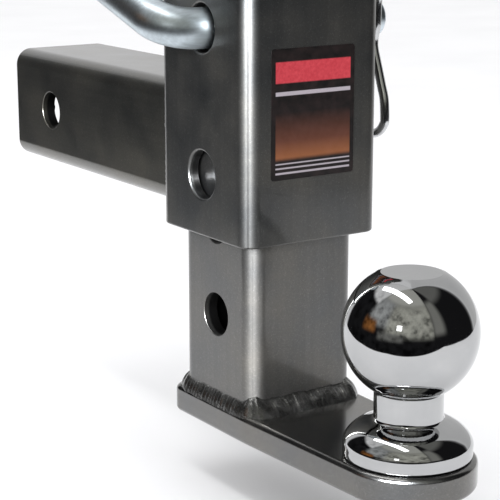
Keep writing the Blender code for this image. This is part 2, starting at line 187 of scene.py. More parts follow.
def build_world():
    world = bpy.data.worlds.new("studio")
    world.use_nodes = True
    bpy.context.scene.world = world
    tree = world.node_tree
    tree.nodes.clear()
    azimuth, elevation = sky_angles(tree)
    colour = None
    for az0, az1, el0, el1, soft, patch in STUDIO_PATCHES:
        mask = math_node(tree, "MULTIPLY", smooth_step(tree, azimuth, az0 - soft / 2, az0 + soft / 2),
                         smooth_step(tree, azimuth, az1 + soft / 2, az1 - soft / 2))
        rise = math_node(tree, "MULTIPLY", smooth_step(tree, elevation, el0 - soft / 2, el0 + soft / 2),
                         smooth_step(tree, elevation, el1 + soft / 2, el1 - soft / 2))
        mix = tree.nodes.new("ShaderNodeMixRGB")
        tree.links.new(math_node(tree, "MULTIPLY", mask, rise), mix.inputs["Fac"])
        if colour is None:
            mix.inputs["Color1"].default_value = (*ROOM_COLOUR, 1)
        else:
            tree.links.new(colour, mix.inputs["Color1"])
        mix.inputs["Color2"].default_value = (*patch, 1)
        colour = mix.outputs[0]
    around = tree.nodes.new("ShaderNodeTexCoord").outputs["Generated"]
    clutter = ramp(tree, noise_node(tree, around, CLUTTER_SCALE, detail=4),
                   ((0.36, 0.35), (0.50, 0.95), (0.66, 1.35)))
    front = math_node(tree, "MULTIPLY", smooth_step(tree, azimuth, *CLUTTER_AZIMUTHS),
                      smooth_step(tree, elevation, *CLUTTER_ELEVATIONS))
    colour = blend_colours(tree, "MULTIPLY", front, colour, clutter)
    path = tree.nodes.new("ShaderNodeLightPath")
    even = math_node(tree, "MAXIMUM", path.outputs["Is Diffuse Ray"], path.outputs["Is Camera Ray"])
    mix = tree.nodes.new("ShaderNodeMixRGB")
    tree.links.new(even, mix.inputs["Fac"])
    tree.links.new(colour, mix.inputs["Color1"])
    mix.inputs["Color2"].default_value = (*STUDIO_LIGHT, 1)
    background = tree.nodes.new("ShaderNodeBackground")
    tree.links.new(mix.outputs[0], background.inputs["Color"])
    output = tree.nodes.new("ShaderNodeOutputWorld")
    tree.links.new(background.outputs[0], output.inputs["Surface"])


def build_camera():
    data = bpy.data.cameras.new("camera")
    data.lens = CAMERA_LENS
    data.sensor_width = 36.0
    data.clip_start = 0.02
    data.clip_end = 50.0
    camera = bpy.data.objects.new("camera", data)
    bpy.context.scene.collection.objects.link(camera)
    camera.location = CAMERA_AT
    camera.rotation_euler = Vector(CAMERA_LOOK).to_track_quat("-Z", "Y").to_euler()
    bpy.context.scene.camera = camera
    bpy.context.scene.view_settings.view_transform = "Standard"


def sky_direction(azimuth, elevation):
    az, el = math.radians(azimuth), math.radians(elevation)
    return Vector((math.sin(az) * math.cos(el), math.cos(az) * math.cos(el), math.sin(el)))


def softbox(name, away, distance, size, brightness, target, facing=None):
    """A rectangular light, out along away from the target; brightness is its own radiance."""
    data = bpy.data.lights.new(name, "AREA")
    data.shape = "RECTANGLE"
    data.size, data.size_y = size
    data.energy = brightness * math.pi * size[0] * size[1]
    lamp = bpy.data.objects.new(name, data)
    bpy.context.scene.collection.objects.link(lamp)
    lamp.location = Vector(target) + away * distance
    lamp.rotation_euler = (facing or -away).to_track_quat("-Z", "Y").to_euler()
    return lamp


def middle_of_ball():
    low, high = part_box("hitch_ball")
    radius = (high.x - low.x) / 2
    centre_z = high.z - math.sqrt(radius ** 2 - CROWN_R ** 2)
    return Vector(((low.x + high.x) / 2, (low.y + high.y) / 2, centre_z))


def build_lights():
    """The tube hangs level over the ball; the rim light reaches only the pieces in RIM_LIT."""
    middle = (CAD_LOW + CAD_HIGH) / 2
    ball = middle_of_ball()
    straight_down = Vector((0, 0, -1))
    softbox("overhead_tube", Vector(TUBE_OFFSET), 1.0, TUBE_SIZE, TUBE_BRIGHTNESS, ball, straight_down)
    softbox("small_softbox", sky_direction(*SMALL_BOX_AT), SMALL_BOX_DISTANCE, SMALL_BOX_SIZE,
            SMALL_BOX_BRIGHTNESS, middle)
    rim = softbox("rim_light", sky_direction(*RIM_AT), RIM_DISTANCE, RIM_SIZE, RIM_BRIGHTNESS, middle)
    rim.data.color = RIM_COLOUR
    lit = bpy.data.collections.new("rim_lit")
    for name in RIM_LIT:
        lit.objects.link(bpy.data.objects[name])
    rim.light_linking.receiver_collection = lit


def flat_mesh(name, outlines):
    """Faces in the XY plane, one for each outline."""
    verts, faces = [], []
    for outline in outlines:
        faces.append(range(len(verts), len(verts) + len(outline)))
        verts += [(x, y, 0.0) for x, y in outline]
    mesh = bpy.data.meshes.new(name)
    mesh.from_pydata(verts, [], faces)
    return mesh


def build_floor():
    material, shader = new_material("floor_paper")
    tree = material.node_tree
    mottle = noise_node(tree, object_coordinates(tree), 6.0, detail=3)
    ramp(tree, mottle, ((0.35, (0.86, 0.86, 0.87)), (0.65, (0.89, 0.89, 0.90))),
         shader.inputs["Base Color"])
    shader.inputs["Roughness"].default_value = 0.7
    shader.inputs["Specular IOR Level"].default_value = 0.2
    near = TABLE_OUTLINE
    centre = Vector(FLOOR_CENTRE)
    far = [tuple(centre + (Vector(point) - centre).normalized() * FLOOR_R) for point in near]
    sections = [(near[i - 1], far[i - 1], far[i], near[i]) for i in range(len(near))]
    for name, outlines, mirrored in (("floor", (near,), True), ("floor_beyond", sections, False)):
        floor = bpy.data.objects.new(name, flat_mesh(name, outlines))
        bpy.context.scene.collection.objects.link(floor)
        floor.location.z = CAD_LOW.z - FLOOR_DROP
        floor.data.materials.append(material)
        floor.visible_glossy = mirrored


# ---- outlines and meshes --------------------------------------------------

def arc(cx, cy, radius, start_deg, end_deg, steps):
    """Points along an arc, both ends included."""
    points = []
    for i in range(steps + 1):
        a = math.radians(start_deg + (end_deg - start_deg) * i / steps)
        points.append((cx + radius * math.cos(a), cy + radius * math.sin(a)))
    return points


def mesh_object(name, verts, faces):
    mesh = bpy.data.meshes.new(name)
    mesh.from_pydata([tuple(v) for v in verts], [], faces)
    obj = bpy.data.objects.new(name, mesh)
    bpy.context.scene.collection.objects.link(obj)
    bm = bmesh.new()
    bm.from_mesh(mesh)
    bmesh.ops.remove_doubles(bm, verts=bm.verts, dist=1e-7)
    bmesh.ops.recalc_face_normals(bm, faces=bm.faces)
    bm.to_mesh(mesh)
    bm.free()
    return obj


def rings_object(name, rings, closed=False):
    """A skin over rings of equal length, capped at both ends unless closed."""
    count = len(rings[0])
    verts = [v for ring in rings for v in ring]
    faces = []
    for j in range(len(rings) if closed else len(rings) - 1):
        a, b = j * count, (j + 1) % len(rings) * count
        faces += [(a + i, a + (i + 1) % count, b + (i + 1) % count, b + i) for i in range(count)]
    if not closed:
        faces.append(tuple(range(count)))
        faces.append(tuple(range((len(rings) - 1) * count, len(rings) * count)))
    return mesh_object(name, verts, faces)


def turned(name, profile, sides, matrix=Matrix(), radius_at=None):
    """A solid turned about Z from (radius, height) points, capped at its ends."""
    rings = []
    for radius, height in profile:
        ring = []
        for i in range(sides):
            a = math.tau * i / sides
            r = radius_at(radius, height, a) if radius_at else radius
            ring.append(matrix @ Vector((r * math.cos(a), r * math.sin(a), height)))
        rings.append(ring)
    return rings_object(name, rings)


def swept(name, points, radii, sides):
    """A round bar along a planar or gently curved path."""
    rings = []
    across = None
    for i, point in enumerate(points):
        before, after = points[max(i - 1, 0)], points[min(i + 1, len(points) - 1)]
        along = (after - before).normalized()
        if across is None:
            across = along.orthogonal()
        across = (across - along * across.dot(along)).normalized()
        other = along.cross(across)
        ring = []
        for k in range(sides):
            a = math.tau * k / sides
            ring.append(point + (across * math.cos(a) + other * math.sin(a)) * radii[i])
        rings.append(ring)
    return rings_object(name, rings)


def apply_modifiers(obj):
    evaluated = obj.evaluated_get(bpy.context.evaluated_depsgraph_get())
    mesh = bpy.data.meshes.new_from_object(evaluated)
    obj.modifiers.clear()
    obj.data = mesh


def cut(obj, cutters, operation="DIFFERENCE"):
    """Boolean the cutters into an object and remove them."""
    for cutter in cutters:
        modifier = obj.modifiers.new("cut", "BOOLEAN")
        modifier.operation = operation
        modifier.solver = "EXACT"
        modifier.object = cutter
    apply_modifiers(obj)
    for cutter in cutters:
        bpy.data.objects.remove(cutter, do_unlink=True)


def shade(obj, angle_deg=32):
    """Smooth the round faces and keep the flats flat."""
    obj.data.shade_smooth()
    obj.data.set_sharp_from_angle(angle=math.radians(angle_deg))
    normals = obj.modifiers.new("flat_faces_first", "WEIGHTED_NORMAL")
    normals.mode = "FACE_AREA"
    normals.weight = 80
    normals.keep_sharp = True
    apply_modifiers(obj)


def dress(obj, body, slot, material, *nodes):
    obj.data.materials.clear()
    obj.data.materials.append(material)
    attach(obj, body)
    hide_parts(*nodes)


# ---- materials ------------------------------------------------------------

def new_material(name):
    material = bpy.data.materials.new(name)
    material.use_nodes = True
    return material, material.node_tree.nodes["Principled BSDF"]


def object_coordinates(tree, scale=(1, 1, 1)):
    coordinates = tree.nodes.new("ShaderNodeTexCoord").outputs["Object"]
    if scale == (1, 1, 1):
        return coordinates
    mapping = tree.nodes.new("ShaderNodeMapping")
    mapping.inputs["Scale"].default_value = scale
    tree.links.new(coordinates, mapping.inputs["Vector"])
    return mapping.outputs["Vector"]


def noise_node(tree, vector, scale, detail=4.0, roughness=0.55):
    node = tree.nodes.new("ShaderNodeTexNoise")
    tree.links.new(vector, node.inputs["Vector"])
    node.inputs["Scale"].default_value = scale
    node.inputs["Detail"].default_value = detail
    node.inputs["Roughness"].default_value = roughness
    return node.outputs["Fac"]


def voronoi_node(tree, vector, scale, output="Color"):
    node = tree.nodes.new("ShaderNodeTexVoronoi")
    tree.links.new(vector, node.inputs["Vector"])
    node.inputs["Scale"].default_value = scale
    return node.outputs[output]


def ramp(tree, value, stops, target=None):
    """A colour ramp; each stop is (position, colour or grey level)."""
    node = tree.nodes.new("ShaderNodeValToRGB")
    tree.links.new(value, node.inputs["Fac"])
    elements = node.color_ramp.elements
    while len(elements) < len(stops):
        elements.new(1.0)
    for element, (position, colour) in zip(elements, stops):
        element.position = position
        element.color = (*colour, 1) if isinstance(colour, tuple) else (colour,) * 3 + (1,)
    if target:
        tree.links.new(node.outputs["Color"], target)
    return node.outputs["Color"]


def blend_colours(tree, kind, factor, first, second):
    node = tree.nodes.new("ShaderNodeMixRGB")
    node.blend_type = kind
    for socket, value in zip(node.inputs, (factor, first, second)):
        if isinstance(value, (int, float)):
            socket.default_value = value
        elif isinstance(value, tuple):
            socket.default_value = (*value, 1)
        else:
            tree.links.new(value, socket)
    return node.outputs[0]


def bump(tree, shader, layers):
    """Stack (height, strength, distance) layers into the shader's normals."""
    normal = None
    for height, strength, distance in layers:
        node = tree.nodes.new("ShaderNodeBump")
        node.inputs["Strength"].default_value = strength
        node.inputs["Distance"].default_value = distance
        tree.links.new(height, node.inputs["Height"])
        if normal:
            tree.links.new(normal, node.inputs["Normal"])
        normal = node.outputs["Normal"]
    for socket in ("Normal", "Coat Normal"):
        tree.links.new(normal, shader.inputs[socket])


# Near-black for a tube's bore: partly bare steel inside the tube, partly painted shade where the light
# doesn't reach
BORE_SCALE_AND_SHADE_DARK = (0.010, 0.010, 0.010)
BORE_SCALE_AND_SHADE_LIGHT = (0.022, 0.021, 0.020)


def bore_mask(tree, node, wall, axes):
    """1 in a tube's bore and on the inner part of its hole walls; axes are the two across the tube."""
    low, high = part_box(node)
    split = tree.nodes.new("ShaderNodeSeparateXYZ")
    tree.links.new(tree.nodes.new("ShaderNodeTexCoord").outputs["Object"], split.inputs[0])
    reach = None
    for axis in axes:
        index = "XYZ".index(axis)
        away = math_node(tree, "SUBTRACT", split.outputs[axis], (low[index] + high[index]) / 2)
        away = math_node(tree, "ABSOLUTE", away)
        reach = away if reach is None else math_node(tree, "MAXIMUM", reach, away)
    half = (high["XYZ".index(axes[0])] - low["XYZ".index(axes[0])]) / 2
    return smooth_step(tree, reach, half - 0.25 * wall, half - 0.45 * wall)


def charcoal_paint(name, base, roughness, grain, bore=None):
    """Glossy charcoal enamel with fine metal flake over slightly uneven steel."""
    material, shader = new_material(name)
    tree = material.node_tree
    plain = object_coordinates(tree)
    drawn = object_coordinates(tree, grain)
    cloud = noise_node(tree, plain, 34.0, detail=5)
    streak = noise_node(tree, drawn, 1.0, detail=3)
    flake = voronoi_node(tree, plain, 2300.0)
    warm = tuple(c * s for c, s in zip(base, (1.10, 1.04, 0.96)))
    cool = tuple(c * s for c, s in zip(base, (0.88, 0.90, 0.94)))
    colour = ramp(tree, cloud, ((0.30, cool), (0.70, warm)))
    streaks = ramp(tree, streak, ((0.30, 0.94), (0.72, 1.05)))
    colour = blend_colours(tree, "MULTIPLY", 1.0, colour, streaks)
    flakes = ramp(tree, flake, ((0.0, 0.82), (0.75, 1.0), (1.0, 1.45)))
    colour = blend_colours(tree, "MULTIPLY", 0.8, colour, flakes)
    # Inside the bore the enamel gives way to near-black: partly bare scaled steel, partly painted shade in
    # the hollow
    if bore:
        inside = bore_mask(tree, *bore)
        scale = ramp(tree, cloud, ((0.30, BORE_SCALE_AND_SHADE_DARK), (0.70, BORE_SCALE_AND_SHADE_LIGHT)))
        colour = blend_colours(tree, "MIX", inside, colour, scale)
    tree.links.new(colour, shader.inputs["Base Color"])
    ramp(tree, cloud, ((0.3, roughness - 0.03), (0.7, roughness + 0.05)), shader.inputs["Roughness"])
    shader.inputs["Metallic"].default_value = 1.0
    shader.inputs["Coat Weight"].default_value = 0.6
    shader.inputs["Coat Roughness"].default_value = 0.10
    peel = noise_node(tree, plain, 420.0, detail=2)
    dust = noise_node(tree, plain, 2600.0, detail=1)
    bump(tree, shader, ((peel, 0.25, 0.00006), (dust, 0.12, 0.00002)))
    return material


def weld_paint():
    """The same enamel, thicker and shinier over the weld's ripples."""
    material, shader = new_material("weld_enamel")
    tree = material.node_tree
    plain = object_coordinates(tree)
    cloud = noise_node(tree, plain, 190.0, detail=6)
    colour = ramp(tree, cloud, ((0.32, (0.045, 0.045, 0.043)), (0.55, (0.10, 0.10, 0.097)),
                                (0.72, (0.30, 0.30, 0.29))))
    tree.links.new(colour, shader.inputs["Base Color"])
    ramp(tree, cloud, ((0.3, 0.32), (0.7, 0.20)), shader.inputs["Roughness"])
    shader.inputs["Metallic"].default_value = 0.85
    shader.inputs["Coat Weight"].default_value = 0.6
    shader.inputs["Coat Roughness"].default_value = 0.08
    grit = noise_node(tree, plain, 900.0, detail=4)
    bump(tree, shader, ((grit, 0.7, 0.00030),))
    return material


def chrome():
    """Mirror plating with faint haze and hairline polish marks."""
    material, shader = new_material("mirror_chrome")
    tree = material.node_tree
    plain = object_coordinates(tree)
    haze = noise_node(tree, plain, 60.0, detail=5)
    ramp(tree, haze, ((0.35, (0.455, 0.46, 0.465)), (0.65, (0.505, 0.508, 0.51))),
         shader.inputs["Base Color"])
    ramp(tree, haze, ((0.35, 0.030), (0.70, 0.065)), shader.inputs["Roughness"])
    shader.inputs["Metallic"].default_value = 1.0
    polish = noise_node(tree, object_coordinates(tree, (500, 500, 3000)), 1.0, detail=2)
    bump(tree, shader, ((polish, 0.02, 0.00001),))
    return material


def zinc(name, tint, roughness, grain):
    """Bright zinc plate with fine marks along the bar and a cloudy film."""
    material, shader = new_material(name)
    tree = material.node_tree
    plain = object_coordinates(tree)
    cloud = noise_node(tree, plain, 70.0, detail=5)
    dull = tuple(c * 0.80 for c in tint)
    colour = ramp(tree, cloud, ((0.32, dull), (0.62, tint)))
    marks = noise_node(tree, object_coordinates(tree, grain), 1.0, detail=4)
    colour = blend_colours(tree, "MULTIPLY", 1.0, colour, ramp(tree, marks, ((0.3, 0.84), (0.7, 1.06))))
    tree.links.new(colour, shader.inputs["Base Color"])
    ramp(tree, cloud, ((0.3, roughness + 0.05), (0.7, roughness - 0.04)), shader.inputs["Roughness"])
    shader.inputs["Metallic"].default_value = 1.0
    bump(tree, shader, ((marks, 0.15, 0.00003),))
    return material


def band(tree, value, low, high, soft):
    """1 where a value lies between two limits, with soft edges."""
    rise = smooth_step(tree, value, low - soft, low + soft)
    fall = smooth_step(tree, value, high + soft, high - soft)
    return math_node(tree, "MULTIPLY", rise, fall)


def label_print(low, high):
    """A generic printed film: a plain red bar, a warm fade from below and level rules."""
    material, shader = new_material("label_print")
    tree = material.node_tree
    mapping = tree.nodes.new("ShaderNodeMapping")
    mapping.vector_type = "TEXTURE"
    mapping.inputs["Location"].default_value = (low.x, 0, low.z)
    mapping.inputs["Scale"].default_value = (high.x - low.x, 1, high.z - low.z)
    tree.links.new(tree.nodes.new("ShaderNodeTexCoord").outputs["Object"], mapping.inputs["Vector"])
    split = tree.nodes.new("ShaderNodeSeparateXYZ")
    tree.links.new(mapping.outputs[0], split.inputs[0])
    across, up = split.outputs["X"], split.outputs["Z"]
    inside = band(tree, across, 0.05, 0.95, 0.004)
    grain = noise_node(tree, object_coordinates(tree), 900.0, detail=3)
    blotch = noise_node(tree, object_coordinates(tree), 260.0, detail=2)

    colour = ramp(tree, blotch, ((0.3, (0.006, 0.005, 0.005)), (0.7, (0.020, 0.012, 0.012))))
    fade = ramp(tree, up, ((0.16, (0.26, 0.085, 0.024)), (0.30, (0.10, 0.027, 0.011)),
                           (0.52, (0.0, 0.0, 0.0))))
    panel = math_node(tree, "MULTIPLY", inside, band(tree, up, 0.16, 0.62, 0.02))
    colour = blend_colours(tree, "ADD", panel, colour, fade)
    bar = math_node(tree, "MULTIPLY", inside, band(tree, up, 0.74, 0.90, 0.006))
    red = ramp(tree, grain, ((0.3, (0.46, 0.030, 0.045)), (0.7, (0.58, 0.050, 0.068))))
    colour = blend_colours(tree, "MIX", bar, colour, red)
    for start, end in ((0.645, 0.675), (0.045, 0.060), (0.085, 0.097), (0.120, 0.130)):
        rule = math_node(tree, "MULTIPLY", inside, band(tree, up, start, end, 0.003))
        strength = math_node(tree, "MULTIPLY", rule, 0.8)
        colour = blend_colours(tree, "MIX", strength, colour, (0.50, 0.45, 0.50))
    tree.links.new(colour, shader.inputs["Base Color"])
    ramp(tree, grain, ((0.3, 0.30), (0.7, 0.40)), shader.inputs["Roughness"])
    shader.inputs["Specular IOR Level"].default_value = 0.35
    bump(tree, shader, ((grain, 0.1, 0.00002),))
    return material


# ---- square tubes ---------------------------------------------------------

def square_outline(half, corner_r, seam=0.0):
    """Rounded square with spare points along one side, which may carry a raised seam."""
    reach = half - corner_r
    points = []
    corners = ((reach, reach, 0), (-reach, reach, 90), (-reach, -reach, 180), (reach, -reach, 270))
    for cx, cy, start in corners:
        points += arc(cx, cy, corner_r, start, start + 90, CORNER_STEPS)
        if start == 90:
            width = 3.0 * MM
            for i in range(SEAM_POINTS):
                t = i / (SEAM_POINTS - 1)
                lift = seam * math.sin(math.pi * t)
                points.append((-half + lift, width * (0.5 - t)))
    return points


def wall_profile(length, wall, rim_r):
    """(share of the wall from outside in, height) round a tube's wall."""
    steps = 4
    inner_rim = rim_r * 0.6
    points = []
    for centre_t, centre_z, radius, start in (
            (rim_r / wall, rim_r, rim_r, 180), (1 - inner_rim / wall, inner_rim, inner_rim, 270),
            (1 - inner_rim / wall, length - inner_rim, inner_rim, 0),
            (rim_r / wall, length - rim_r, rim_r, 90)):
        for i in range(steps + 1):
            a = math.radians(start + 90 * i / steps)
            points.append((centre_t + radius / wall * math.cos(a), centre_z + radius * math.sin(a)))
    return points


def square_tube(name, half, wall, corner_r, length, rim_r, matrix, seam=0.35 * MM):
    """A tube with rounded rims; its length runs along local Z from 0."""
    outer = square_outline(half, corner_r)
    inner = square_outline(half - wall, max(corner_r - wall, 1.5 * MM), seam)
    rings = []
    for t, z in wall_profile(length, wall, rim_r):
        rings.append([matrix @ Vector((ox + (ix - ox) * t, oy + (iy - oy) * t, z))
                      for (ox, oy), (ix, iy) in zip(outer, inner)])
    return rings_object(name, rings, closed=True)


def hole_cutter(radius, half, wall, rim_r, centre):
    """A cutter along X for a hole through both walls, with rounded edges at each face."""
    profile = []
    steps, sweep = 5, 80
    for i in range(steps + 1):
        a = math.radians(sweep * (1 - i / steps))
        profile.append((radius + rim_r * (1 - math.cos(a)), -half + rim_r * (1 - math.sin(a))))
    inner_r = rim_r * 0.5
    for i in range(steps + 1):
        a = math.radians(sweep * i / steps)
        profile.append((radius + inner_r * (1 - math.cos(a)), -half + wall - inner_r * (1 - math.sin(a))))
    profile.insert(0, (profile[0][0], -half - 0.003))
    profile += [(r, -x) for r, x in reversed(profile)]
    matrix = Matrix.Translation(Vector(centre)) @ Matrix.Rotation(math.pi / 2, 4, "Y")
    return turned("hole_cutter", profile, HOLE_SIDES, matrix)


# ---- pieces ---------------------------------------------------------------

def build_shank(paint):
    low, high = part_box("shank_tube")
    half = (high.x - low.x) / 2
    along_y = Matrix.Translation((0, low.y, 0)) @ Matrix.Rotation(-math.pi / 2, 4, "X")
    tube = square_tube("receiver_shank", half, SHANK_WALL, SHANK_CORNER_R, high.y - low.y, 0.7 * MM,
                       along_y)
    cut(tube, [hole_cutter(RECEIVER_HOLE_R, half, SHANK_WALL, 0.4 * MM, (0, 0, 0))])
    shade(tube)
    dress(tube, "frame", "frame_paint", paint, "shank_tube")


def build_sleeve(paint):
    low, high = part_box("sleeve_tube")
    half = (high.x - low.x) / 2
    centre_y = (low.y + high.y) / 2
    tube = square_tube("leg_sleeve", half, SLEEVE_WALL, SLEEVE_CORNER_R, high.z - low.z, 0.8 * MM,
                       Matrix.Translation((0, centre_y, low.z)))
    holes = [hole_cutter(SLEEVE_HOLE_R, half, SLEEVE_WALL, 1.1 * MM, (0, centre_y, z))
             for z in (low.z + SLEEVE_LOWER_HOLE_INSET, high.z - SLEEVE_UPPER_HOLE_INSET)]
    cut(tube, holes)
    shade(tube)
    dress(tube, "frame", "frame_paint", paint, "sleeve_tube")


def build_leg(paint):
    low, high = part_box("leg_tube")
    half = (high.x - low.x) / 2
    centre_y = (low.y + high.y) / 2
    tube = square_tube("drop_leg", half, LEG_WALL, LEG_CORNER_R, high.z - low.z, 0.6 * MM,
                       Matrix.Translation((0, centre_y, low.z)))
    top_hole = high.z - LEG_TOP_MARGIN
    holes = [hole_cutter(LEG_HOLE_R, half, LEG_WALL, 0.4 * MM, (0, centre_y, top_hole - i * LEG_HOLE_PITCH))
             for i in range(LEG_HOLES)]
    cut(tube, holes)
    shade(tube)
    dress(tube, "drop_leg", "leg_paint", paint, "leg_tube")


def build_plate(paint):
    low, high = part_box("ball_plate")
    leg_low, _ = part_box("leg_tube")
    half_width = (high.x - low.x) / 2
    ball_y = low.y + PLATE_NOSE_R
    rear_x, rear_y = half_width - PLATE_REAR_CORNER_R, high.y - PLATE_REAR_CORNER_R
    outline = arc(rear_x, rear_y, PLATE_REAR_CORNER_R, 0, 90, CORNER_STEPS)
    outline += arc(-rear_x, rear_y, PLATE_REAR_CORNER_R, 90, 180, CORNER_STEPS)
    outline += [(-half_width, leg_low.y + 0.004), (-half_width + 0.00008, leg_low.y)]
    outline += arc(0, ball_y, PLATE_NOSE_R, 180, 360, 64)
    outline += [(half_width - 0.00008, leg_low.y), (half_width, leg_low.y + 0.004)]
    centroid = Vector((0, ball_y, 0))
    steps = 6
    edge = []
    for i in range(steps + 1):
        a = math.pi / 2 * i / steps
        edge.append((PLATE_EDGE_R * (1 - math.sin(a)), low.z + PLATE_EDGE_R * (1 - math.cos(a))))
    edge += [(inset, low.z + high.z - z) for inset, z in reversed(edge)]
    rings = []
    for inset, z in edge:
        rings.append(inset_ring(outline, inset, z))
    plate = rings_object("ball_plate_body", rings)
    flare, past = 0.8 * MM, 0.002
    wide = BALL_HOLE_R + flare
    profile = [(wide, low.z - past), (wide, low.z), (BALL_HOLE_R, low.z + flare),
               (BALL_HOLE_R, high.z - flare), (wide, high.z), (wide, high.z + past)]
    cut(plate, [turned("ball_hole_cutter", profile, HOLE_SIDES, Matrix.Translation(centroid))])
    shade(plate)
    dress(plate, "drop_leg", "leg_paint", paint, "ball_plate")


def inset_ring(outline, inset, z):
    """The outline moved inward by an inset, at a height."""
    count = len(outline)
    ring = []
    for i, (x, y) in enumerate(outline):
        ax, ay = outline[i - 1]
        bx, by = outline[(i + 1) % count]
        along = Vector((bx - ax, by - ay)).normalized()
        ring.append(Vector((x - along.y * inset, y + along.x * inset, z)))
    return ring


def ring_path(half, corner_r, spacing):
    """Points and outward directions round a rounded square, evenly spaced."""
    straight = 2 * (half - corner_r)
    quarter = math.pi / 2 * corner_r
    total = 4 * (straight + quarter)
    count = round(total / spacing)
    path = []
    for i in range(count):
        distance = total * i / count
        side, rest = divmod(distance, straight + quarter)
        turn = Matrix.Rotation(math.pi / 2 * side, 2)
        if rest < straight:
            point, out = Vector((half, rest - straight / 2)), Vector((1, 0))
        else:
            a = (rest - straight) / corner_r
            out = Vector((math.cos(a), math.sin(a)))
            point = Vector((half - corner_r, straight / 2)) + out * corner_r
        path.append((turn @ point, turn @ out, distance, total))
    return path


def weld_bead(name, path, size_at, drop_at, place, seed):
    """A rippled fillet bead round a tube: size_at gives its width and height for an outward direction."""
    face_steps = 9
    embed = 0.15 * MM
    ripple_pitch = 2.1 * MM
    ripple_depth = 0.22 * MM
    rings = []
    ripples = round(path[0][3] / ripple_pitch)
    for point, out, distance, total in path:
        width, height, boost = size_at(out)
        wander = noise.noise(Vector((point.x * 160, point.y * 160, seed)))
        flutter = noise.noise(Vector((point.x * 700, point.y * 700, seed + 9)))
        width *= 1 + 0.05 * wander
        height *= 1 + 0.10 * wander + 0.06 * flutter
        toe = -drop_at(out, width)
        section = [(-embed, height)]
        for k in range(face_steps + 1):
            t = k / face_steps
            phase = distance / total * ripples + 0.55 * (2 * t - 1) ** 2 + 0.25 * wander
            hump = abs(math.sin(math.pi * phase)) ** 0.7
            roundness = math.sin(math.pi * t)
            bulge = (0.55 * MM + boost * 0.3) * roundness
            bulge += (ripple_depth * (hump - 0.5) + ripple_depth * flutter) * roundness ** 0.6
            section.append((width * t + bulge * 0.7, height * (1 - t) + toe * t + bulge * 0.7))
        section += [(width - embed, toe - embed), (-embed, -embed)]
        rings.append([place(point + out * u, v) for u, v in section])
    bead = rings_object(name, rings, closed=True)
    shade(bead, 50)
    return bead


def corner_share(out):
    return 4 * (out.x * out.y) ** 2


def build_foot_weld(paint):
    leg_low, leg_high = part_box("leg_tube")
    _, plate_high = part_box("ball_plate")
    half = (leg_high.x - leg_low.x) / 2
    centre_y = (leg_low.y + leg_high.y) / 2
    side_shelf = plate_high.x - half - PLATE_EDGE_R

    def size_at(out):
        front, rear, side = max(-out.y, 0) ** 2, max(out.y, 0) ** 2, out.x ** 2
        boost = corner_share(out) * (1.6 * MM if out.y < 0 else 1.0 * MM)
        return (front * 6.0 * MM + rear * 4.0 * MM + side * 3.0 * MM + boost * 0.5,
                front * 6.0 * MM + rear * 5.2 * MM + side * 4.6 * MM + boost, boost)

    def drop_at(out, width):
        over = max(width * abs(out.x) - side_shelf, 0)
        return PLATE_EDGE_R - math.sqrt(max(PLATE_EDGE_R ** 2 - min(over, PLATE_EDGE_R) ** 2, 0))

    def place(point, height):
        return Vector((point.x, centre_y + point.y, plate_high.z + height))

    path = ring_path(half, LEG_CORNER_R, 0.3 * MM)
    bead = weld_bead("foot_weld", path, size_at, drop_at, place, 3.0)
    dress(bead, "drop_leg", "weld_paint", paint,
          "foot_weld_front", "foot_weld_rear", "foot_weld_left", "foot_weld_right")


def build_shank_weld(paint):
    shank_low, shank_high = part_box("shank_tube")
    _, sleeve_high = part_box("sleeve_tube")
    half = (shank_high.x - shank_low.x) / 2

    def size_at(out):
        return (4.2 * MM + corner_share(out) * 0.4 * MM, 4.6 * MM + corner_share(out) * 0.5 * MM, 0.0)

    def drop_at(out, width):
        over = min(width * abs(out.x), SLEEVE_CORNER_R)
        return (SLEEVE_CORNER_R - math.sqrt(SLEEVE_CORNER_R ** 2 - over ** 2)) * out.x ** 2

    def place(point, height):
        return Vector((point.x, sleeve_high.y + height, point.y))

    path = ring_path(half, SHANK_CORNER_R, 0.3 * MM)
    bead = weld_bead("shank_weld", path, size_at, drop_at, place, 17.0)
    dress(bead, "frame", "weld_paint", paint,
          "shank_weld_top", "shank_weld_bottom", "shank_weld_left", "shank_weld_right")


def smooth_through(points, steps):
    """Catmull-Rom points through a list of vectors."""
    curve = []
    for i in range(len(points) - 1):
        p0, p1, p2 = points[max(i - 1, 0)], points[i], points[i + 1]
        p3 = points[min(i + 2, len(points) - 1)]
        for k in range(steps):
            t = k / steps
            curve.append(0.5 * (2 * p1 + (p2 - p0) * t + (2 * p0 - 5 * p1 + 4 * p2 - p3) * t * t
                                + (3 * p1 - p0 - 3 * p2 + p3) * t ** 3))
    curve.append(points[-1])
    return curve


def thread_depth(height, angle, clearance=0.0):
    """How deep a right-hand thread's groove is at a height and an angle."""
    phase = (height / THREAD_PITCH - angle / math.tau) % 1.0
    valley = 1 - abs(2 * phase - 1)
    return THREAD_DEPTH * min(max((valley - 0.12) / 0.76, 0.0), 1.0) - clearance


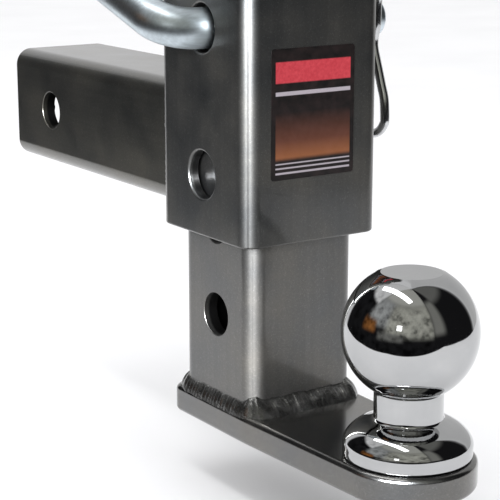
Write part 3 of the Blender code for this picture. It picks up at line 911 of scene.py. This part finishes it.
def build_ball(finish):
    low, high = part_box("hitch_ball")
    plate_low, plate_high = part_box("ball_plate")
    radius = (high.x - low.x) / 2
    centre_y = (low.y + high.y) / 2
    underside = plate_high.z + 0.3 * MM
    crown_height = math.sqrt(radius ** 2 - CROWN_R ** 2)
    centre_z = high.z - crown_height
    top_deg = math.degrees(math.atan2(crown_height, CROWN_R))
    neck_deg = -math.degrees(math.acos((NECK_R + 0.5 * MM) / radius))
    profile = [(0.0004, high.z), (CROWN_R * 0.55, high.z), (CROWN_R - 0.7 * MM, high.z)]
    profile += arc(CROWN_R - 0.75 * MM, high.z - 0.75 * MM, 0.75 * MM, 86, top_deg - 2, 6)
    profile += arc(0.0, centre_z, radius, top_deg - 2.0, neck_deg, 64)
    foot = profile[-1]
    neck_top = [Vector(foot), Vector((NECK_R + 0.15 * MM, foot[1] - 0.5 * MM)),
                Vector((NECK_R, foot[1] - 1.3 * MM))]
    profile += [tuple(p) for p in smooth_through(neck_top, 5)[1:]]
    flange = ((NECK_R, NECK_BOTTOM + 1.5 * MM), (NECK_R, 0.0150), (0.0132, 0.0142), (0.0142, 0.0135),
              (0.0168, 0.0125), (0.0194, 0.0111), (0.0215, 0.0094), (0.0231, 0.0075), (0.0241, 0.0053),
              (0.0241, 0.0030), (0.0241, 0.0008), (0.0237, 0.0001), (0.0229, 0.0))
    points = [Vector((r, underside + h)) for r, h in flange]
    profile += [tuple(p) for p in smooth_through(points, 5)]
    profile += [(STUD_R + 0.4 * MM, underside), (STUD_R, underside - 0.4 * MM),
                (STUD_R, plate_low.z + 4 * MM)]
    step = THREAD_PITCH / 8
    count = int((plate_low.z + 4 * MM - low.z) / step)
    profile += [(STUD_R, plate_low.z + 4 * MM - step * (i + 1)) for i in range(count - 1)]
    profile += [(STUD_R - 1.4 * MM, low.z), (0.0004, low.z)]
    thread_top, chamfer_top = plate_low.z + 3.5 * MM, low.z + 1.5 * MM

    def radius_at(r, h, a):
        if h >= thread_top or r < STUD_R - 1 * MM:
            return r
        fade = min((thread_top - h) / (2 * MM), 1.0)
        limit = STUD_R - max(chamfer_top - h, 0)
        return min(r - fade * thread_depth(h, a), limit)

    ball = turned("ball_and_stud", profile, 112, Matrix.Translation((0, centre_y, 0)), radius_at)
    shade(ball, 38)
    dress(ball, "drop_leg", "ball_chrome", finish, "hitch_ball")


def build_nut(finish):
    low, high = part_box("ball_nut")
    ball_low, ball_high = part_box("hitch_ball")
    centre = Vector((0, (ball_low.y + ball_high.y) / 2, 0))
    corner_r = (high.x - low.x) / 2
    flat_r = corner_r * math.cos(math.radians(30))
    nib = 0.5 * MM
    outline = []
    for i in range(6):
        a = math.radians(60 * i)
        hub = Vector((math.cos(a), math.sin(a))) * (corner_r - nib / math.cos(math.radians(30)))
        outline += arc(hub.x, hub.y, nib, 60 * i - 30, 60 * i + 30, 5)
    rings = [[centre + Vector((x, y, z)) for x, y in outline] for z in (low.z, high.z)]
    nut = rings_object("hex_nut", rings)
    reach = corner_r + 1 * MM
    slope = math.tan(math.radians(28))
    top_r = flat_r - 0.4 * MM
    chamfer = (reach - top_r) * slope
    profile = [(0.001, high.z + 1 * MM), (top_r, high.z + 1 * MM), (top_r, high.z),
               (reach, high.z - chamfer), (reach, low.z + chamfer), (top_r, low.z),
               (top_r, low.z - 1 * MM), (0.001, low.z - 1 * MM)]
    cut(nut, [turned("nut_chamfer", profile, 96, Matrix.Translation(centre))], "INTERSECT")
    clearance = 0.12 * MM
    step = THREAD_PITCH / 8
    count = int((high.z - low.z) / step) + 8
    bore = [(STUD_R, high.z + step * 4 - step * i) for i in range(count)]

    def thread_at(r, h, a):
        mouth = max(0.0, 1.2 * MM - (high.z - h), 1.2 * MM - (h - low.z))
        return max(r + clearance - thread_depth(h, a), STUD_R - THREAD_DEPTH + mouth)

    cut(nut, [turned("nut_thread", bore, 72, Matrix.Translation(centre), thread_at)])
    shade(nut, 35)
    dress(nut, "drop_leg", "fastener_zinc", finish, "ball_nut")


def build_lock_washer(finish):
    low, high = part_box("lock_washer")
    ball_low, ball_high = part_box("hitch_ball")
    centre_y = (ball_low.y + ball_high.y) / 2
    outer_r, bore_r = (high.x - low.x) / 2, STUD_R + 0.4 * MM
    nib = 0.5 * MM
    section = []
    for r, z, start in ((outer_r - nib, high.z - nib, 0), (bore_r + nib, high.z - nib, 90),
                        (bore_r + nib, low.z + nib, 180), (outer_r - nib, low.z + nib, 270)):
        section += arc(r, z, nib, start, start + 90, 4)
    middle = (low.z + high.z) / 2
    half_split, lean, count = 3.5, 9.0, 120
    rings = []
    for i in range(count + 1):
        ring = []
        for r, z in section:
            tilt = lean * (z - middle) / (high.z - low.z)
            a = math.radians(half_split + (360 - 2 * half_split) * i / count + tilt - 150)
            ring.append(Vector((r * math.cos(a), centre_y + r * math.sin(a), z)))
        rings.append(ring)
    washer = rings_object("split_washer", rings)
    shade(washer, 35)
    dress(washer, "drop_leg", "fastener_zinc", finish, "lock_washer")


def rounded_end(start, direction, radius, chamfer, steps=6):
    """Points and radii that round a bar's end off; the first is the end face."""
    points, radii = [], []
    for i in range(steps + 1):
        a = math.pi / 2 * i / steps
        points.append(start + direction * chamfer * (1 - math.cos(a)))
        radii.append(radius - chamfer * (1 - math.sin(a)))
    return points, radii


def build_pin(finish):
    low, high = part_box("hitch_pin")
    axis = Vector(JOINTS["pin_turn"]["pos_m"])
    radius = axis.z - low.z
    along = Vector((0.0, math.cos(PIN_HANDLE_RISE), math.sin(PIN_HANDLE_RISE)))
    end_chamfer = 1.6 * MM
    points, radii = rounded_end(Vector((high.x, axis.y, axis.z)), Vector((-1, 0, 0)), radius, end_chamfer)
    steps = 12
    for i in range(1, steps):
        points.append(Vector((points[6].x + (PIN_BEND_START_X - points[6].x) * i / steps, axis.y, axis.z)))
    start = Vector((PIN_BEND_START_X, axis.y, axis.z))
    hub = start + along * PIN_BEND_R
    bend_steps = 28
    for i in range(bend_steps + 1):
        a = math.pi / 2 * i / bend_steps
        points.append(hub - along * PIN_BEND_R * math.cos(a) - Vector((1, 0, 0)) * PIN_BEND_R * math.sin(a))
    end = Vector((PIN_BEND_START_X - PIN_BEND_R, axis.y, axis.z)) + along * PIN_HANDLE_LENGTH
    tail, tail_radii = rounded_end(end, -along, radius, end_chamfer)
    here = points[-1]
    for i in range(1, steps):
        points.append(here + (tail[-1] - here) * i / steps)
    radii += [radius] * (len(points) - len(radii))
    points += reversed(tail)
    radii += reversed(tail_radii)
    pin = swept("bent_hitch_pin", points, radii, 56)
    clip_low, clip_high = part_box("pin_clip")
    clip_x = (clip_low.x + clip_high.x) / 2
    profile = [(CLIP_HOLE_R + 0.6 * MM, -radius - 2 * MM), (CLIP_HOLE_R + 0.6 * MM, -radius + 0.1 * MM),
               (CLIP_HOLE_R, -radius + 0.9 * MM)]
    profile += [(r, -z) for r, z in reversed(profile)]
    cut(pin, [turned("clip_hole_cutter", profile, 32, Matrix.Translation((clip_x, axis.y, axis.z)))])
    shade(pin, 38)
    dress(pin, "pin", "pin_zinc", finish, "hitch_pin")


def build_clip(finish):
    axis = Vector(JOINTS["pin_turn"]["pos_m"])
    low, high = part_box("pin_clip")
    clip_x = (low.x + high.x) / 2
    straight = [(0.0, 21.0), (0.0, 8.0), (0.0, -8.0), (0.0, -24.0), (0.0, -35.0)]
    loop = arc(-8.55, -38.0, 8.55, 0, -165, 12)
    outer_leg = [(-16.2, -32.0), (-14.3, -26.5), (-11.2, -18.0), (-9.0, -12.0), (-8.7, -8.5), (-9.4, -5.0),
                 (-10.2, -1.8), (-10.4, 2.0), (-10.6, 7.0), (-11.8, 12.0), (-14.2, 17.2)]
    route = [Vector((clip_x, axis.y + y * MM, axis.z + z * MM)) for y, z in straight + loop + outer_leg]
    points = smooth_through(route, 6)
    radii = [CLIP_WIRE_R] * len(points)
    from_head = (points[1] - points[0]).normalized()
    from_tail = (points[-2] - points[-1]).normalized()
    head, head_radii = rounded_end(points[0], from_head, CLIP_WIRE_R, 0.8 * MM, 4)
    tail, tail_radii = rounded_end(points[-1], from_tail, CLIP_WIRE_R, 0.8 * MM, 4)
    points = head + points[2:-2] + tail[::-1]
    radii = head_radii + radii[2:-2] + tail_radii[::-1]
    clip = swept("spring_clip", points, radii, 24)
    shade(clip, 50)
    dress(clip, "clip", "clip_wire", finish, "pin_clip")


def build_label(finish):
    low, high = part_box("label_plate")
    sleeve_low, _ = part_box("sleeve_tube")
    corner_r, thickness, edge = 1.2 * MM, 0.22 * MM, 0.07 * MM
    cx, cz = (low.x + high.x) / 2, (low.z + high.z) / 2
    half_w, half_h = (high.x - low.x) / 2 - corner_r, (high.z - low.z) / 2 - corner_r
    outline = []
    corners = ((half_w, half_h, 0), (-half_w, half_h, 90), (-half_w, -half_h, 180), (half_w, -half_h, 270))
    for x, z, start in corners:
        outline += arc(cx + x, cz + z, corner_r, start, start + 90, 6)
    back = sleeve_low.y - 0.02 * MM
    rings = []
    for inset, y in ((0, back), (0, back - thickness + edge), (edge, back - thickness)):
        ring = inset_ring(outline, inset, 0)
        rings.append([Vector((p.x, y, p.y)) for p in ring])
    label = rings_object("printed_label", rings)
    shade(label, 30)
    dress(label, "frame", "label_film", finish, "label_plate")


def build_camera_and_stage():
    build_camera()
    build_world()
    build_floor()


def main():
    build_camera_and_stage()
    # One enamel in four copies whose base colour is set per piece as painted light and shade: lighter on
    # the leg and lighter still on the plate, darker on the sleeve and the shank, with a warmer cast on the
    # shank
    frame_paint = charcoal_paint("frame_enamel", (0.096, 0.097, 0.094), 0.35, (420, 420, 9),
                                 ("sleeve_tube", SLEEVE_WALL, "XY"))
    shank_paint = charcoal_paint("shank_enamel", (0.094, 0.093, 0.083), 0.33, (420, 9, 420),
                                 ("shank_tube", SHANK_WALL, "XZ"))
    leg_paint = charcoal_paint("leg_enamel", (0.106, 0.106, 0.103), 0.37, (420, 420, 9),
                               ("leg_tube", LEG_WALL, "XY"))
    plate_paint = charcoal_paint("plate_enamel", (0.150, 0.150, 0.146), 0.22, (9, 9, 420))
    weld = weld_paint()
    plated = zinc("fastener_plate", (0.62, 0.63, 0.62), 0.30, (600, 600, 600))
    build_shank(shank_paint)
    build_sleeve(frame_paint)
    build_shank_weld(weld)
    build_label(label_print(*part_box("label_plate")))
    build_leg(leg_paint)
    build_plate(plate_paint)
    build_foot_weld(weld)
    build_ball(chrome())
    build_lock_washer(plated)
    build_nut(plated)
    build_pin(zinc("pin_plate", (0.66, 0.74, 0.79), 0.38, (60, 900, 900)))
    build_clip(zinc("wire_plate", (0.70, 0.71, 0.72), 0.16, (900, 900, 60)))
    build_lights()


main()
